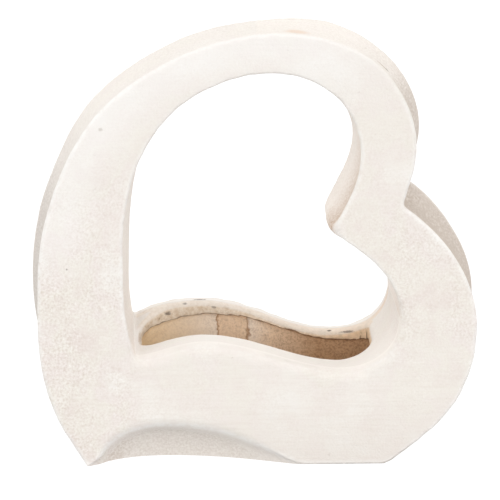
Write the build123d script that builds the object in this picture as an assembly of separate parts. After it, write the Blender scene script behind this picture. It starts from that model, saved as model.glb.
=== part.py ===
from build123d import *
import math
import os

# Heart ring planter in whitewashed fired clay, built up from luted clay slabs. Millimetres.
# The front face looks along -Y, +X is to the right of the front face, +Z is up.
# The origin is the middle of the footprint, on the surface that the planter stands on.

# Overall sizes
front_width = 296.0          # the front face, side to side
front_height = 288.0         # the front face, foot to crown
foot_depth = 120.0           # front face to back face, measured at the foot
crown_depth = 35.0           # the same, measured at the crown

# Clay
wall = 8.5                   # every slab is rolled to this thickness
band_recess = 2.0            # the bands sit this far inside the edges of the front and back slabs

# Planting slot, cut down through the deck
slot_length = 158.0
slot_left_gap = 3.0          # deck left between the slot and the left arm of the ring
slot_front_rim = 25.0        # front face to the near lip of the slot
slot_back_rim = 16.0         # back face to the far lip of the slot
slot_tight_radius = 8.0      # near left and far right corners
slot_wide_radius = 26.0      # far left and near right corners

# Cove scooped out of the foot, front and back
cove_height = 29.0
cove_depth = 23.5
cove_tip_gap = 6.8           # flat foot left between the tip of the heart and the cove
cove_reach_left = 46.0       # from the left end to where the cove is highest
cove_reach_right = 92.0      # from there to the right end
cove_power_left = 0.6        # a blunt end by the tip of the heart
cove_power_right = 1.25      # a long fading end towards the lobe

# Outlines in hundredths of the front face's width and height, from its lower left corner, all
# clockwise as seen from the front. The back slab is cut freehand to the same pattern, a little wider.
# The outside runs on below the foot, where the floor plane cuts it.
FRONT_SWEEP = [(17.6, -10.0), (11.2, 0.0), (6.0, 7.8), (1.7, 18.5), (0.0, 36.5), (1.0, 52.5), (5.2, 66.8),
               (12.0, 79.2), (24.0, 90.2), (38.0, 97.0), (54.0, 100.0), (67.5, 98.0), (78.0, 92.0),
               (84.2, 82.6), (86.0, 74.0), (85.2, 67.5), (83.1, 60.1)]
BACK_SWEEP = [(16.6, -10.0), (10.2, 0.0), (4.6, 8.0), (0.0, 18.5), (-2.0, 36.5), (0.0, 53.0), (4.6, 66.5),
              (11.2, 79.2), (23.3, 90.6), (37.8, 97.9), (54.0, 100.9), (68.6, 99.3), (79.7, 92.0),
              (86.0, 82.6), (88.0, 73.5), (87.0, 67.0), (84.4, 61.0)]
FRONT_LOBE = [(83.1, 60.1), (89.0, 55.2), (95.9, 46.4), (99.6, 36.0), (99.4, 25.5), (95.7, 15.4),
              (88.4, 6.8), (79.2, 0.0), (67.0, -10.0)]
BACK_LOBE = [(84.4, 61.0), (90.2, 56.0), (97.0, 46.3), (100.9, 36.0), (101.1, 25.0), (97.2, 14.8),
             (89.6, 6.2), (80.2, 0.0), (68.0, -10.0)]
FRONT_ARCH = [(22.3, 25.0), (20.6, 33.0), (19.8, 46.5), (20.9, 61.5), (24.8, 73.0), (31.5, 82.0),
              (41.7, 88.2), (53.6, 90.5), (63.5, 88.0), (70.0, 82.3), (72.9, 74.5), (72.1, 65.5),
              (69.4, 59.4), (66.8, 54.3)]
BACK_ARCH = [(21.5, 25.2), (20.8, 33.0), (20.9, 46.0), (22.2, 60.5), (26.0, 72.2), (32.4, 81.1),
             (42.0, 87.1), (53.6, 89.4), (63.0, 87.0), (69.4, 81.0), (72.2, 73.6), (71.3, 66.0),
             (69.0, 60.3), (66.4, 54.0)]
FRONT_DECK = [(66.8, 54.3), (71.8, 50.6), (76.8, 46.2), (80.8, 40.3), (82.3, 33.5), (81.0, 28.0),
              (77.0, 23.9), (70.5, 21.8), (62.0, 22.7), (51.8, 25.5), (44.6, 27.2), (39.0, 28.0),
              (33.0, 27.4), (26.9, 25.6), (22.3, 25.0)]
BACK_DECK = [(66.4, 54.0), (71.2, 49.7), (75.9, 45.3), (79.7, 39.8), (81.3, 33.5), (80.2, 28.6),
             (76.6, 24.2), (70.5, 22.0), (62.0, 22.4), (53.0, 25.7), (45.5, 28.6), (38.5, 29.8),
             (31.5, 29.4), (26.0, 28.0), (21.5, 25.2)]
TIP = FRONT_SWEEP[1]
CLEFT = FRONT_SWEEP[-1]
CUSP = FRONT_ARCH[-1]
CORNER = FRONT_ARCH[0]       # where the deck meets the left arm
LOBE_SIDE = FRONT_DECK[4]    # where the deck has turned up into the lobe

FAR = 400.0                  # past every face of the planter
SAMPLES = 30                 # places taken along a run of an outline to move it sideways
lean = (foot_depth - crown_depth) / 2 / front_height
slant_wall = wall * math.hypot(1, lean)


def place(point):
    """A point of an outline in millimetres on the XZ plane."""
    across, up = point
    return (front_width * (across - 50) / 100, front_height * up / 100)


def on_face(points):
    """The same for a list of points."""
    return [place(point) for point in points]


def upright(shape_2d):
    """A shape drawn on XZ, extruded both ways along Y past every face."""
    return extrude(Plane.XZ * shape_2d, FAR, both=True)


def region(points):
    """A flat polygon on XZ."""
    return make_face(Polyline(*points, close=True))


def side_profile(points):
    """A polygon in Y and Z, extruded both ways along X past every face."""
    return extrude(make_face(Plane.YZ * Polyline(*points, close=True)), FAR, both=True)


def slab_zone(side):
    """The leaning layer that holds the front (side -1) or back (side 1) slab."""
    outer = foot_depth / 2 + wall
    inner = foot_depth / 2 - slant_wall
    return side_profile([(side * outer, 0), (side * inner, 0),
                         (side * (inner - lean * FAR), FAR), (side * (outer - lean * FAR), FAR)])


def core_zone():
    """Everything between the inner faces of the front and back slabs, above the floor."""
    inner = foot_depth / 2 - slant_wall
    rise = inner / lean
    return side_profile([(-inner, 0), (inner, 0), (0, rise)])


def moved_run(curve, distance):
    """Places along one run of an outline, moved outwards by a distance."""
    places = []
    for step in range(SAMPLES + 1):
        share = step / SAMPLES
        ahead = curve % share
        places.append(curve @ share + Vector(-ahead.Y, ahead.X) * distance)
    return places


def moved_outline(runs, distance):
    """All runs of an outline as places, moved outwards, with mitred corners where runs meet."""
    curves = [Spline(*on_face(run)) for run in runs]
    moved = [moved_run(curve, distance) for curve in curves]
    for number, curve in enumerate(curves):
        following = (number + 1) % len(curves)
        if (curve @ 1 - curves[following] @ 0).length > 1:
            continue
        arriving = curve % 1
        leaving = curves[following] % 0
        normals = Vector(-arriving.Y - leaving.Y, arriving.X + leaving.X)
        share = 1 + arriving.dot(leaving)
        corner = curve @ 1 + normals * (distance / share)
        # Where the moved runs cross, both are cut back to the mitred corner
        overrun = max(0, distance * arriving.cross(leaving).Z / share)
        cut_before = round(SAMPLES * overrun / curve.length) + 1
        cut_after = round(SAMPLES * overrun / curves[following].length) + 1
        moved[number] = moved[number][:-cut_before] + [corner]
        moved[following] = [corner] + moved[following][cut_after:]
    return moved


def leaning_face(runs, distance, side):
    """An outline moved outwards by a distance, on the front (side -1) or back (side 1) face."""
    edges = []
    for places in moved_outline(runs, distance):
        depths = [side * (foot_depth / 2 - lean * place.Y) for place in places]
        edges.append(Spline(*[(place.X, depth, place.Y) for place, depth in zip(places, depths)]))
    first, last = edges[0] @ 0, edges[-1] @ 1
    if (first - last).length > 1:
        edges.append(Line(last, first))
    return make_face(edges)


def tapered(front_runs, back_runs, distance):
    """What the front and back outlines, both moved outwards by a distance, enclose between them."""
    ends = [leaning_face(front_runs, distance, -1), leaning_face(back_runs, distance, 1)]
    return loft(ends, ruled=True)


def heart(distance):
    """Everything inside the outer outline."""
    return tapered((FRONT_SWEEP, FRONT_LOBE), (BACK_SWEEP, BACK_LOBE), distance)


def eye(distance):
    """The opening of the ring."""
    return tapered((FRONT_ARCH, FRONT_DECK), (BACK_ARCH, BACK_DECK), distance)


floor_layer = upright(region([(-FAR, 0), (FAR, 0), (FAR, wall), (-FAR, wall)]))
cavity = heart(-band_recess - wall)


def lobe_zone():
    """The side of the line from cusp to cleft that holds the lobe."""
    cusp_x, cusp_z = place(CUSP)
    cleft_x, cleft_z = place(CLEFT)
    slope = (cleft_z - cusp_z) / (cleft_x - cusp_x)
    return upright(region([(cusp_x, cusp_z), (FAR, cusp_z + slope * (FAR - cusp_x)), (FAR, -FAR),
                           (0, -FAR)]))


def deck_zone():
    """Below a mitre through the corner by the left arm and a level line through the lobe's side."""
    corner_x, corner_z = place(CORNER)
    side_x, side_z = place(LOBE_SIDE)
    return upright(region([(corner_x, corner_z), (corner_x - FAR, corner_z - FAR), (FAR, -FAR),
                           (FAR, side_z), (corner_x, side_z)]))


cove_peak = place(TIP)[0] + cove_tip_gap + cove_reach_left


def cove_shape(across):
    """Share of the full cove, from 0 at its ends to 1 at its peak."""
    if across < cove_peak:
        reach, power = cove_reach_left, cove_power_left
    else:
        reach, power = cove_reach_right, cove_power_right
    share = (across - cove_peak) / reach
    return (1 - share ** 2) ** power


def cove_section(across, thickness):
    """The hollow of the cove at one X, grown by a thickness and run past the face and the floor."""
    spare = 10.0
    share = cove_shape(across)
    up = cove_height * share + thickness
    back = cove_depth * share + thickness
    foot = -foot_depth / 2
    crest = foot + lean * up
    plane = Plane(origin=(across, 0, 0), x_dir=(0, 1, 0), z_dir=(1, 0, 0))
    middle = math.sqrt(0.5)
    arc = Spline((crest, up), (foot + back * middle, up * middle), (foot + back, 0),
                 tangents=[(1, 0), (0, -1)])
    rest = Polyline((foot + back, 0), (foot + back, -spare), (foot - spare, -spare),
                    (foot - spare, up), (crest, up))
    return plane * make_face([arc, rest])


def cove_cutter(thickness):
    """The cove's hollow as a solid, through sections that get closer together towards its ends."""
    stations = 6
    last_share = 0.995       # the end sections stop just short of where the cove vanishes
    sections = []
    for step in range(-stations, stations + 1):
        if step < 0:
            reach = cove_reach_left
        else:
            reach = cove_reach_right
        share = last_share * math.sin(step / stations * math.pi / 2)
        sections.append(cove_section(cove_peak + reach * share, thickness))
    return loft(sections)


def front_and_back(shape):
    """The shape and its mirror image on the other face."""
    return shape, mirror(shape, Plane.XZ)


front_hollow, back_hollow = front_and_back(cove_cutter(0))
front_lined, back_lined = front_and_back(cove_cutter(wall))


def make_ring_slab(side, hollow):
    """The front or back face: a heart ring with the cove's hollow taken out of its foot."""
    return ((heart(0) - eye(0)) & slab_zone(side)) - hollow


def outside_strip():
    """The strip between the slabs that runs round the outside, standing on the floor."""
    return ((heart(-band_recess) - cavity) & core_zone()) - front_lined - back_lined


def lining_strip():
    """The strip between the slabs that runs round the opening."""
    return ((eye(band_recess + wall) - eye(band_recess)) & core_zone()) - deck_zone()


def slot_outline():
    """The slot seen from above, with two tight and two wide corners."""
    left = place(CORNER)[0] + slot_left_gap
    right = left + slot_length
    deck_level = place(CORNER)[1]
    half = foot_depth / 2 - lean * deck_level
    near = -half + slot_front_rim
    far = half - slot_back_rim
    tight = slot_tight_radius
    wide = slot_wide_radius
    edges = [
        Line((left + tight, near), (right - wide, near)),
        RadiusArc((right - wide, near), (right, near + wide), -wide),
        Line((right, near + wide), (right, far - tight)),
        RadiusArc((right, far - tight), (right - tight, far), -tight),
        Line((right - tight, far), (left + wide, far)),
        RadiusArc((left + wide, far), (left, far - wide), -wide),
        Line((left, far - wide), (left, near + tight)),
        RadiusArc((left, near + tight), (left + tight, near), -tight),
    ]
    return make_face(edges)


def make_planting_deck():
    slab = (eye(wall) - eye(0)) & core_zone() & deck_zone()
    return slab - extrude(slot_outline(), FAR)


def make_base_slab():
    return (cavity & floor_layer & core_zone()) - front_lined - back_lined


def make_cove(lined, hollow):
    return (lined - hollow) & core_zone() & heart(-band_recess)


nodes = {
    "front_slab": make_ring_slab(-1, front_hollow),
    "back_slab": make_ring_slab(1, back_hollow),
    "outer_band": outside_strip() - lobe_zone(),
    "lobe_band": outside_strip() & lobe_zone(),
    "arch_lining": lining_strip() - lobe_zone(),
    "lobe_lining": lining_strip() & lobe_zone(),
    "planting_deck": make_planting_deck(),
    "base_slab": make_base_slab(),
    "front_cove": make_cove(front_lined, front_hollow),
    "back_cove": make_cove(back_lined, back_hollow),
}

# The outlines are drawn to their own grid, so the whole planter is moved to stand centred
box = Compound(children=[solid for shape in nodes.values() for solid in shape.solids()]).bounding_box()
to_centre = Location((-box.center().X, -box.center().Y, -box.min.Z))

os.makedirs("parts", exist_ok=True)
for name, shape in nodes.items():
    solids = [solid.moved(to_centre) for solid in shape.solids()]
    print(name, len(solids), "solid(s)", round(sum(solid.volume for solid in solids) / 1000, 1), "cm3")
    export_step(Compound(children=solids), f"parts/{name}.step")
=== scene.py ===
import math

import bmesh
import bpy
import numpy as np
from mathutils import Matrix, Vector, noise
from mathutils.geometry import delaunay_2d_cdt


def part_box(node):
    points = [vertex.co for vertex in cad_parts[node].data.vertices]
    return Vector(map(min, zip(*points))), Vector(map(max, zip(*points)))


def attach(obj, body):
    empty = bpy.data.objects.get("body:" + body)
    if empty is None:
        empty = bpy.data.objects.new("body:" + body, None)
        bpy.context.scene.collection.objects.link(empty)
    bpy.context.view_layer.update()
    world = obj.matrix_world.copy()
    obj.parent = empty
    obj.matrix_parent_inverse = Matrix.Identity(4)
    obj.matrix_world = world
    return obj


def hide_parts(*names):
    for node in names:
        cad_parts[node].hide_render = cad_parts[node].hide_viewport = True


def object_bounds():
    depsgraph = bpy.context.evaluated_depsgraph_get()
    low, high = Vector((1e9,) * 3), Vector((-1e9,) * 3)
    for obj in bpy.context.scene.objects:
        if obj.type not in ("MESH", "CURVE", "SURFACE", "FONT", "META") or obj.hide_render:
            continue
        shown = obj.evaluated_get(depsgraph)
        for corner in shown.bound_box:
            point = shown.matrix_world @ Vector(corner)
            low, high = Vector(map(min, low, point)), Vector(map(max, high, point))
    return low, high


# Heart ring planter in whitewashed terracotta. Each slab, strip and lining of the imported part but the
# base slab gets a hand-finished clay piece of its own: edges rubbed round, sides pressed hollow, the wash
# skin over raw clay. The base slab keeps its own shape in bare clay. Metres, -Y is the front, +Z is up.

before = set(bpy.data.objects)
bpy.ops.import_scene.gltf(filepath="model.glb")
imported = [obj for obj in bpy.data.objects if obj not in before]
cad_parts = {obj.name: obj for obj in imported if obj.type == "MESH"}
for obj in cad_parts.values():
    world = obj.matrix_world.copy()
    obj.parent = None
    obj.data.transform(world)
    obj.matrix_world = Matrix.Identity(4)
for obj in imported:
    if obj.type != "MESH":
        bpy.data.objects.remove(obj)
cad_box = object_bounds()

MM = 0.001

# ---------------------------------------------------------------- sizes, as in the part
front_height = 288.0 * MM
foot_depth = 120.0 * MM
crown_depth = 35.0 * MM
wall = 8.5 * MM
slot_length = 158.0 * MM
slot_left_gap = 3.0 * MM
slot_front_rim = 25.0 * MM
slot_back_rim = 16.0 * MM
slot_tight_radius = 8.0 * MM
slot_wide_radius = 26.0 * MM
cove_depth = 23.5 * MM
cove_height = 29.0 * MM

foot_half = foot_depth / 2
lean = (foot_depth - crown_depth) / 2 / front_height
slant_wall = wall * math.hypot(1, lean)
lobe_side_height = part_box("planting_deck")[1].z

# ---------------------------------------------------------------- how the clay was finished
edge_radius = 2.8 * MM        # arris of the faces, rubbed round
deck_edge_radius = 5.8 * MM   # and along the deck, where hands go in
deck_fade = 28.0 * MM         # up to this far from it
deck_dullness = 2.4 * MM      # the rubbed wash and its painted highlight there lie as if the arris were this much further off
edge_unevenness = 0.4         # share by which these come and go
radius_limit = 0.92           # no edge is rounded by more than this share of the wall
crest_radius = 8.0 * MM       # the brow over the scooped foot is softer
crest_full = 0.7              # fully so from this share of the scoop's height
crest_sag = 0.14              # and hangs lower than a sharp one, by this share of its height
tip_rise = 0.68               # slope at which the scoop leaves the tip
tip_height = 6.0 * MM         # up to this height
tip_reach = 12.5 * MM
foot_radius = 0.9 * MM
foot_fade = 8.0 * MM          # up to this height the edges are sharper, as they stand on the floor
cusp_softness = {-1: 5.5 * MM, 1: 6.5 * MM}   # front and back, the edges start to round it this far off
cusp_pull = (-2.2 * MM, -3.5 * MM)            # the back of the cusp hangs left and down
cusp_bulge = 3.0 * MM                         # and between the faces it is full, not hollow
cusp_reach = 12.0 * MM
cleft_softness = {-1: 2.5 * MM, 1: 4.5 * MM}
heel_softness = {-1: 6.0 * MM, 1: 6.0 * MM}
corner_softness = {-1: 2.5 * MM, 1: 4.0 * MM}
hollow_depth = 3.4 * MM       # how far the sides are pressed in between the two faces
hollow_share = 0.045          # the same as a share of the depth, where the ring is thin
hollow_fade = 20.0 * MM       # over this length the hollow runs out at the foot and the corners
lip_radius = 3.0 * MM         # lip of the planting slot
slot_backing = 28.0 * MM      # the joint behind the slot is filled with clay this far down
backing_fade = 8.0 * MM       # and the filling runs out over this much further in
ragged_edge = 0.9 * MM        # unevenness of the wash's lower edge on the cut
ragged_fade = 1.2 * MM        # over this much depth the wash gives way to raw clay
tip_dirt = 75.0 * MM          # over this length the scooped foot is dirtier towards the tip
point_spacing = 1.4 * MM      # along the edges
straight_step = 25.0 * MM     # a longer step of an outline is a straight
face_spacing = 3.0 * MM       # over the faces
deck_spacing = 2.4 * MM       # over the planting deck
steps_across = 26             # across the pressed sides
cove_steps = 16               # round the curve of the scoop
press_depth = 0.9 * MM        # unevenness left by the hands
press_size = 42.0 * MM
ripple_depth = 0.25 * MM      # and by the fingertips
ripple_size = 11.0 * MM
press_seed = 4.0
flat_foot = 10.0 * MM         # below this height the unevenness runs out, so that the foot stands level

# What each point of the clay tells its finish: the place across the depth (front 0, back 1) and along
# the edge, how far the nearest arris is, bare or washed, the slot's cut, how much dirt and painted shade
# the hollow holds, and how brown it is
TAGS = ("side", "along", "rim", "raw", "cut", "grime", "warm")


# ---------------------------------------------------------------- edges of the slabs
def face_loops(node, side):
    """Closed outlines (X, Z) of a slab's outer face, clockwise from the front, the outermost first."""
    shape = bmesh.new()
    shape.from_mesh(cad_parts[node].data)
    bmesh.ops.remove_doubles(shape, verts=shape.verts, dist=1e-6)
    flat = {vert for vert in shape.verts if abs(side * vert.co.y - foot_half + lean * vert.co.z) < 1e-5}
    on_face = {face for face in shape.faces if flat.issuperset(face.verts)}
    following = {}
    for face in on_face:
        for corner in face.loops:
            if len(on_face.intersection(corner.edge.link_faces)) == 1:
                following[corner.vert] = corner.link_loop_next.vert
    loops = []
    while following:
        vert = next(iter(following))
        loop = []
        while vert in following:
            loop.append((vert.co.x, vert.co.z))
            vert = following.pop(vert)
        loops.append(np.array(loop))
    shape.free()
    loops = [loop[::-1] if area(loop) > 0 else loop for loop in loops]
    return sorted(loops, key=area)


def area(loop):
    """Signed area, below zero for a clockwise loop."""
    ahead = np.roll(loop, -1, axis=0)
    return np.sum(loop[:, 0] * ahead[:, 1] - ahead[:, 0] * loop[:, 1]) / 2


def lengths(vectors):
    return np.linalg.norm(vectors, axis=-1)


def gaps(points, others):
    """How far each point is from the nearest of the others."""
    return np.array([np.min(lengths(others - point)) for point in points])


def turns(loop):
    """How far a closed loop turns to the left at each point, in radians."""
    arriving = loop - np.roll(loop, 1, axis=0)
    leaving = np.roll(arriving, -1, axis=0)
    bend = np.arctan2(leaving[:, 1], leaving[:, 0]) - np.arctan2(arriving[:, 1], arriving[:, 0])
    return (bend + math.pi) % (2 * math.pi) - math.pi


def resampled(points, count):
    """The run through these points, smooth and at even steps, with its long straights kept straight."""
    pieces = []
    for start, end in zip(points, points[1:]):
        split = 12 if np.linalg.norm(end - start) > straight_step else 1
        pieces.append(np.linspace(start, end, split, endpoint=False))
    points = np.vstack(pieces + [points[-1:]])
    steps = lengths(np.diff(points, axis=0))
    along = np.concatenate([[0], np.cumsum(steps)])
    slopes = np.gradient(points, along, axis=0, edge_order=2)
    wanted = np.linspace(0, along[-1], count)
    span = np.clip(np.searchsorted(along, wanted, side="right") - 1, 0, len(steps) - 1)
    share = ((wanted - along[span]) / steps[span])[:, None]
    length = steps[span][:, None]
    near = (1 - share) ** 2
    far = share ** 2
    run = ((1 + 2 * share) * near * points[span] + share * near * length * slopes[span]
           + far * (3 - 2 * share) * points[span + 1]
           + far * (share - 1) * length * slopes[span + 1])
    return np.maximum(run, (-math.inf, 0))


def outside_runs(loop):
    """The outside from the tip over the crown to the cleft, round the lobe to the floor, and the foot."""
    on_floor = np.flatnonzero(loop[:, 1] < 1e-5)
    loop = np.roll(loop, -on_floor[np.argmin(loop[on_floor, 0])], axis=0)
    heel = max(np.flatnonzero(loop[:, 1] < 1e-5), key=loop[:, 0].__getitem__)
    cleft = int(np.argmax(np.where(loop[:, 1] > front_height / 3, np.abs(turns(loop)), 0)))
    closed = np.vstack([loop, loop[:1]])
    foot = closed[heel:].copy()
    from_tip = foot[:, 0] - foot[-1, 0]
    rising = np.where(from_tip < tip_reach, np.minimum(tip_rise * from_tip, tip_height), 0)
    foot[:, 1] = np.maximum(foot[:, 1] * (1 - crest_sag), rising)
    foot = foot[np.append(True, np.any(np.diff(foot, axis=0), axis=1))]
    return [closed[:cleft + 1], closed[cleft:heel + 1], foot]


def eye_runs(loop):
    """The opening from the deck's left corner over the arch to the cusp, down the lobe, and the deck."""
    corner, cusp = sorted(np.argsort(np.abs(turns(loop)))[-2:], key=loop[:, 0].__getitem__)
    loop = np.roll(loop, -corner, axis=0)
    cusp = (cusp - corner) % len(loop)
    closed = np.vstack([loop, loop[:1]])
    lower = resampled(closed[cusp:], 400)
    passed = int(np.argmax(lower[:, 1] < lobe_side_height))
    return [closed[:cusp + 1], lower[:passed], lower[passed - 1:]]


def lifted(points, side):
    """Points (X, Z) on the leaning front (side -1) or back (side 1) face."""
    depth = side * (foot_half - lean * points[:, 1])
    return np.column_stack([points[:, 0], depth, points[:, 1]])


def smooth(value):
    value = np.clip(value, 0, 1)
    return value * value * (3 - 2 * value)


def rough(points, size, seed):
    """Noise between -1 and 1 with bumps of one size, at each point."""
    return np.array([noise.noise(Vector(point) / size + Vector((seed, 0, 0))) for point in points])


class Edge:
    """One closed edge of the slabs, as matching points on the front face and the back face."""

    def __init__(self, pairs, air_on_left, softened, pulled=None):
        self.starts = []
        self.hard = {-1: [], 1: []}
        total = 0
        for front, back in pairs:
            count = round(lengths(np.diff(front, axis=0)).sum() / point_spacing) + 1
            self.starts.append(total)
            total += count - 1
            for side, run in ((-1, front), (1, back)):
                self.hard[side].append(resampled(run, count)[:-1])
        self.count = total
        self.hard = {side: np.vstack(parts) for side, parts in self.hard.items()}
        self.softened = softened
        self.pulled = pulled or {}
        self.flat = {side: self.rounded(side) for side in (-1, 1)}
        self.free = {side: self.into_air(self.flat[side], air_on_left) for side in (-1, 1)}
        self.mitres = {side: self.into_air(self.hard[side], air_on_left)[self.starts] for side in (-1, 1)}
        # The tangent of half of each corner's turn, above zero where clay narrows to a point
        self.bend = np.tan(turns(self.hard[-1])[self.starts] / 2) * (-1 if air_on_left else 1)
        self.along = np.concatenate([[0], np.cumsum(lengths(np.diff(self.flat[-1], axis=0)))])

    def rounded(self, side):
        """The edge with its softened corners drawn as curves."""
        hard = self.hard[side]
        flat = hard.copy()
        for number, softness in self.softened.items():
            start = self.starts[number]
            reach = round(softness[side] / lengths(flat[(start + 1) % self.count] - flat[start]))
            share = (np.arange(2 * reach + 1) / (2 * reach))[:, None]
            before, corner, after = (hard[(start + step) % self.count] for step in (-reach, 0, reach))
            spots = np.arange(start - reach, start + reach + 1) % self.count
            flat[spots] = ((1 - share) ** 2 * before + 2 * share * (1 - share) * corner
                           + share ** 2 * after)
        if side > 0:
            for number, (pull, reach) in self.pulled.items():
                apart = lengths(flat - hard[self.starts[number]])
                flat += np.array(pull) * (1 - smooth(apart / reach))[:, None]
        return flat

    def into_air(self, flat, air_on_left):
        """The direction out of the clay at each point, longer at a corner so that moved edges meet."""
        ahead = np.roll(flat, -1, axis=0) - flat
        ahead /= lengths(ahead)[:, None]
        left = np.column_stack([-ahead[:, 1], ahead[:, 0]])
        both = left + np.roll(left, 1, axis=0)
        both *= 2 / np.sum(both ** 2, axis=1)[:, None]
        return both if air_on_left else -both

    def inset(self, side, distance):
        """The edge moved into the clay. Points that would pass a corner's mitre stop on it."""
        distance = np.broadcast_to(distance, self.count)
        moved = self.flat[side] - self.free[side] * distance[:, None]
        for number, start in enumerate(self.starts):
            corner = self.hard[side][start]
            taken = distance[start] * self.bend[number]
            if taken > self.softened.get(number, {side: 0})[side]:
                near = lengths(self.hard[side] - corner) < taken
                near[start] = True
                moved[near] = corner - self.mitres[side][number] * distance[start]
        return moved

    def run(self, number):
        """Positions in the closed edge of one run, both ends included."""
        last = (self.starts + [self.count])[number + 1]
        return np.arange(self.starts[number], last + 1) % self.count


loops = {-1: face_loops("front_slab", -1), 1: face_loops("back_slab", 1)}
SWEEP, LOBE, FOOT = 0, 1, 2
ARCH, LOBE_INSIDE, DECK = 0, 1, 2
outside = Edge(list(zip(outside_runs(loops[-1][0]), outside_runs(loops[1][0]))), air_on_left=True,
               softened={LOBE: cleft_softness, FOOT: heel_softness})
eye = Edge(list(zip(eye_runs(loops[-1][1]), eye_runs(loops[1][1]))), air_on_left=False,
           softened={ARCH: corner_softness, LOBE_INSIDE: cusp_softness},
           pulled={LOBE_INSIDE: (cusp_pull, cusp_reach)})


def finish_edge(edge):
    """Works out across, length, radius, dull and push at each point of an edge."""
    front = lifted(edge.flat[-1], -1)
    back = lifted(edge.flat[1], 1)
    edge.face = {-1: front, 1: back}
    chord = back - front
    if edge is outside:
        foot = edge.run(FOOT)
        blend = np.linspace(0, 1, len(foot))[:, None]
        chord[foot] = (1 - blend) * chord[foot[0]] + blend * chord[foot[-1]]
    edge.length = lengths(chord)
    edge.across = chord / edge.length[:, None]
    height = edge.flat[-1][:, 1]
    uneven = 1 + edge_unevenness * (rough(front, 9 * MM, 3.0) + 0.5 * rough(front, 4 * MM, 6.0))
    edge.radius = edge_radius * uneven
    edge.dull = np.zeros(edge.count)
    hollow = np.minimum(hollow_depth, hollow_share * edge.length)
    if edge is outside:
        foot = edge.run(FOOT)[1:-1]
        crest = smooth(height[foot] / (cove_height * crest_full))
        edge.radius[foot] = foot_radius + (crest_radius - foot_radius) * crest
        edge.radius = foot_radius + (edge.radius - foot_radius) * smooth(height / foot_fade)
        hollow *= smooth(height / hollow_fade)
        hollow[foot] = 0
    else:
        apart = gaps(edge.flat[-1], edge.flat[-1][edge.run(DECK)])
        by_deck = 1 - smooth(apart / deck_fade)
        edge.radius *= 1 + (deck_edge_radius / edge_radius - 1) * by_deck
        edge.dull = deck_dullness * by_deck
        hollow *= smooth(apart / hollow_fade)
        corner = edge.hard[-1][edge.starts[LOBE_INSIDE]]
        cusp = 1 - smooth(lengths(edge.flat[-1] - corner) / cusp_reach)
        hollow -= cusp * (hollow + cusp_bulge)
        edge.radius *= 1 + cusp * (1 + 0.8 * rough(front, 5 * MM, 8.0))
        edge.radius = np.minimum(edge.radius, radius_limit * wall)
    edge.push = {side: -edge.free[side] * hollow[:, None] for side in (-1, 1)}


for edge in (outside, eye):
    finish_edge(edge)

# Dirt and thin wash stay in the hollow of the sides, together with painted shade: grey low on the left,
# brown in the opening, most on the lobe's shoulder and the crown's right flank, which lie in shade,
# least over the top
sweep, shoulder, foot = (outside.run(number) for number in (SWEEP, LOBE, FOOT))
arch, lobe_inside, deck = (eye.run(number) for number in (ARCH, LOBE_INSIDE, DECK))


def spread(values, run, places, shares):
    """Sets the values of a run from shares at some places between its start (0) and its end (1)."""
    values[run] = np.interp(np.linspace(0, 1, len(run)), places, shares)


outside.grime, outside.warm = np.full(outside.count, 0.5), np.where(outside.face[-1][:, 0] > 0, 0.35, 0.1)
eye.grime, eye.warm = np.full(eye.count, 0.2), np.ones(eye.count)
spread(outside.grime, sweep, [0, 0.3, 0.34, 0.42, 0.46, 0.78, 0.84, 0.88, 1],
       [0.95, 0.85, 0.6, 0.27, 0.2, 0.25, 0.5, 1.05, 1.25])
spread(outside.grime, shoulder, [0, 0.2, 0.5, 1], [1.2, 1.4, 1.6, 1.0])
# A little browner round the left shoulder
place = np.linspace(0, 1, len(sweep))
outside.warm[sweep] += 0.06 * smooth((place - 0.15) / 0.1) * smooth((0.45 - place) / 0.1)
tipward = 1 - smooth((outside.face[-1][foot, 0] - outside.face[-1][:, 0].min()) / tip_dirt)
outside.grime[foot] = 0.45 + 0.7 * tipward
outside.warm[foot] = 0.3 + 0.6 * tipward
spread(eye.grime, arch, [0, 0.12, 0.3, 0.7, 0.85, 1], [0.4, 0.2, 0.12, 0.2, 0.6, 0.8])
spread(eye.grime, lobe_inside, [0, 0.12, 0.8, 1], [0.75, 0.05, 0.05, 0.4])
eye.grime[deck] = 0.0
spread(eye.warm, arch, [0, 0.3, 0.8], [0.6, 0.4, 1.0])


# ---------------------------------------------------------------- meshes
def layer(positions, side=0.5, along=0.0, rim=5 * MM, raw=0.0, cut=0.0, grime=0.0, warm=0.0,
          push=(0.0, 0.0)):
    """Positions with the tags that the clay's finish reads, and how far the hands push in X and Z."""
    tags = [np.broadcast_to(tag, len(positions)) for tag in (side, along, rim, raw, cut, grime, warm)]
    return np.column_stack([positions] + tags + [np.broadcast_to(push, (len(positions), 2))])


def new_object(name, data):
    """An object in the scene."""
    made = bpy.data.objects.new(name, data)
    bpy.context.scene.collection.objects.link(made)
    return made


def clay_piece(name, vertices, faces):
    """A closed mesh object from tagged vertices."""
    mesh = bpy.data.meshes.new(name)
    mesh.from_pydata(vertices[:, :3].tolist(), [], faces)
    for column, tag in enumerate(TAGS):
        mesh.attributes.new(tag, "FLOAT", "POINT").data.foreach_set("value", vertices[:, 3 + column])
    push = np.column_stack([vertices[:, -2], np.zeros(len(vertices)), vertices[:, -1]])
    mesh.attributes.new("push", "FLOAT_VECTOR", "POINT").data.foreach_set("vector", push.ravel())
    return new_object(name, mesh)


def closed(piece):
    """Merges what meets, closes slivers, points all faces outwards and keeps only real arrises sharp."""
    shape = bmesh.new()
    shape.from_mesh(piece.data)
    bmesh.ops.remove_doubles(shape, verts=shape.verts, dist=2e-6)
    bmesh.ops.dissolve_degenerate(shape, edges=shape.edges, dist=1e-6)
    bmesh.ops.holes_fill(shape, edges=[edge for edge in shape.edges if edge.is_boundary], sides=8)
    bmesh.ops.recalc_face_normals(shape, faces=shape.faces)
    shape.to_mesh(piece.data)
    shape.free()
    piece.data.shade_smooth()
    piece.data.set_sharp_from_angle(angle=math.radians(40))
    return piece


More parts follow.
